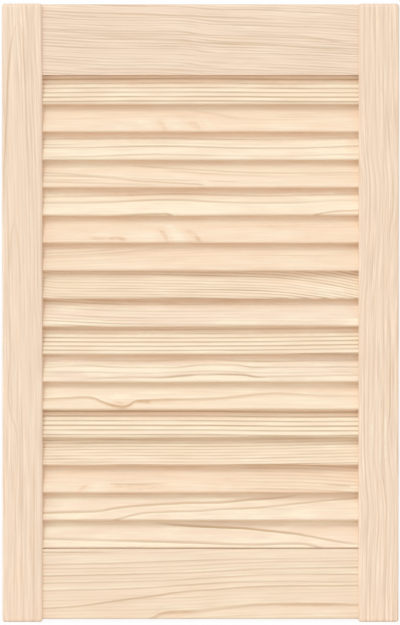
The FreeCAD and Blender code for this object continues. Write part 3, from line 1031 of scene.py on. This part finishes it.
def add_sky(scene, settings):
    """Even light from all round, white where it is seen."""
    world = bpy.data.worlds.new("studio")
    world.use_nodes = True
    tree = world.node_tree
    light = tree.nodes["Background"]
    seen = seen_directly(tree)
    feed(tree, light.inputs["Color"], mixed_colour(tree, seen, settings.sky_colour, (1.0, 1.0, 1.0)))
    strength = maths(tree, "MULTIPLY_ADD", seen, 1.0 - settings.sky, settings.sky)
    feed(tree, light.inputs["Strength"], strength)
    scene.world = world


def aim(thing, direction):
    """Turns a lamp or a camera to a direction."""
    thing.rotation_euler = direction.to_track_quat("-Z", "Y").to_euler()


def add_sun(name, colour, strength, spread, place):
    """A soft light that shines from a place towards the door, as strong at its foot as at its top."""
    light = bpy.data.lights.new(name, "SUN")
    light.color = colour
    light.energy = strength
    light.angle = spread
    lamp = add_object(name, light)
    lamp.location = place
    aim(lamp, -place)


def add_camera(scene, settings):
    """A long lens in front of the door and a little above it."""
    data = bpy.data.cameras.new("camera")
    picture_height = PICTURE_HEIGHT / settings.pixels_per_metre
    # The sensor's width spans the picture's longer side, which is its height
    data.lens = data.sensor_width * settings.camera_distance / picture_height
    data.clip_end = settings.camera_distance + 2 * settings.floor_reach
    low, high = CAD_BOX
    middle = (low + high) / 2
    back = FORWARDS * math.cos(settings.camera_height) + UPWARDS * math.sin(settings.camera_height)
    target = middle + RIGHTWARDS * settings.camera_sideways + UPWARDS * settings.camera_raise
    camera = add_object("camera", data)
    camera.location = target + back * settings.camera_distance
    aim(camera, -back)
    scene.camera = camera


class PineOperator:
    """Shared by the operators: each can be undone, and fails where the frame lacks a board."""

    bl_options = {"REGISTER", "UNDO"}

    def wanted(self, name):
        """A CAD node, or an error that names it."""
        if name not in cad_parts:
            raise RuntimeError(f"the frame has no {name}")
        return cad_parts[name]


class PINE_OT_slats(PineOperator, bpy.types.Operator):
    """Build the slats and give each one its own cut of pine"""

    bl_idname = "pine.slats"
    bl_label = "Build Slats"

    def execute(self, context):
        sizes = context.scene.slat_sizes
        wood = pine_group(context.scene.pine_finish)
        chance = random.Random(BOW_SEED)
        upwards, forwards = slat_axes(sizes.tilt)
        axes = (RIGHTWARDS, upwards, -forwards)
        for seed, name in enumerate(SLATS, SLAT_SEED):
            self.wanted(name)
            slat = build_slat(name, sizes, chance)
            low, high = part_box(name)
            corner = (low + high) / 2 - upwards * sizes.width / 2 + forwards * sizes.thickness / 2
            give_material(slat, pine_material(name, wood, corner, axes, seed))
            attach(slat, "root")
            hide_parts(name)
        return {"FINISHED"}


class PINE_OT_rails(PineOperator, bpy.types.Operator):
    """Give the two rails their pine, with the grain along them"""

    bl_idname = "pine.rails"
    bl_label = "Finish Rails"

    def execute(self, context):
        wood = pine_group(context.scene.pine_finish)
        axes = (RIGHTWARDS, UPWARDS, -FORWARDS)
        for seed, name in enumerate(RAILS, RAIL_SEED):
            rail = self.wanted(name)
            low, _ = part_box(name)
            corner = Vector((0, low.y, low.z))
            give_material(rail, pine_material(name, wood, corner, axes, seed))
        return {"FINISHED"}


class PINE_OT_stiles(PineOperator, bpy.types.Operator):
    """Give the two stiles their pine, with the grain upright"""

    bl_idname = "pine.stiles"
    bl_label = "Finish Stiles"

    def execute(self, context):
        wood = pine_group(context.scene.pine_finish)
        axes = (UPWARDS, RIGHTWARDS, -FORWARDS)
        for seed, name in enumerate(STILES, STILE_SEED):
            stile = self.wanted(name)
            corner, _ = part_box(name)
            give_material(stile, pine_material(name, wood, corner, axes, seed))
        return {"FINISHED"}


class PINE_OT_dowels(PineOperator, bpy.types.Operator):
    """Give the dowels their beech"""

    bl_idname = "pine.dowels"
    bl_label = "Finish Dowels"

    def execute(self, context):
        material = beech_material(context.scene.pine_finish)
        for name in DOWELS:
            give_material(self.wanted(name), material)
        return {"FINISHED"}


class PINE_OT_studio(PineOperator, bpy.types.Operator):
    """Set the floor, the light and the camera"""

    bl_idname = "pine.studio"
    bl_label = "Set Studio"

    def execute(self, context):
        scene = context.scene
        settings = scene.studio_settings
        colour = settings.sun_colour
        add_floor(settings)
        add_sky(scene, settings)
        for place in KEY_PLACES:
            strength = settings.key_strength / len(KEY_PLACES)
            add_sun("key", colour, strength, settings.key_spread, place)
        add_sun("wash", colour, settings.wash_strength, settings.wash_spread, WASH_PLACE)
        add_camera(scene, settings)
        scene.view_settings.view_transform = "Standard"
        return {"FINISHED"}


class PINE_PT_sidebar(bpy.types.Panel):
    """Lists the steps and the values that can be changed"""

    bl_idname = "PINE_PT_sidebar"
    bl_label = "Slatted Pine Door"
    bl_space_type = "VIEW_3D"
    bl_region_type = "UI"
    bl_category = "Pine Door"

    def draw(self, context):
        layout = self.layout
        for step in STEPS:
            layout.operator(step.bl_idname)
        for settings in ("pine_finish", "slat_sizes", "studio_settings"):
            group = getattr(context.scene, settings)
            box = layout.box()
            for name in group.__annotations__:
                box.prop(group, name)


STEPS = (PINE_OT_slats, PINE_OT_rails, PINE_OT_stiles, PINE_OT_dowels, PINE_OT_studio)
CLASSES = (PineFinish, SlatSizes, StudioSettings, *STEPS, PINE_PT_sidebar)


def register():
    for item in CLASSES:
        bpy.utils.register_class(item)
    bpy.types.Scene.pine_finish = PointerProperty(type=PineFinish)
    bpy.types.Scene.slat_sizes = PointerProperty(type=SlatSizes)
    bpy.types.Scene.studio_settings = PointerProperty(type=StudioSettings)


def unregister():
    del bpy.types.Scene.studio_settings
    del bpy.types.Scene.slat_sizes
    del bpy.types.Scene.pine_finish
    for item in reversed(CLASSES):
        bpy.utils.unregister_class(item)


def main():
    register()
    bpy.ops.pine.slats()
    bpy.ops.pine.rails()
    bpy.ops.pine.stiles()
    bpy.ops.pine.dowels()
    bpy.ops.pine.studio()


if __name__ == "__main__":
    main()
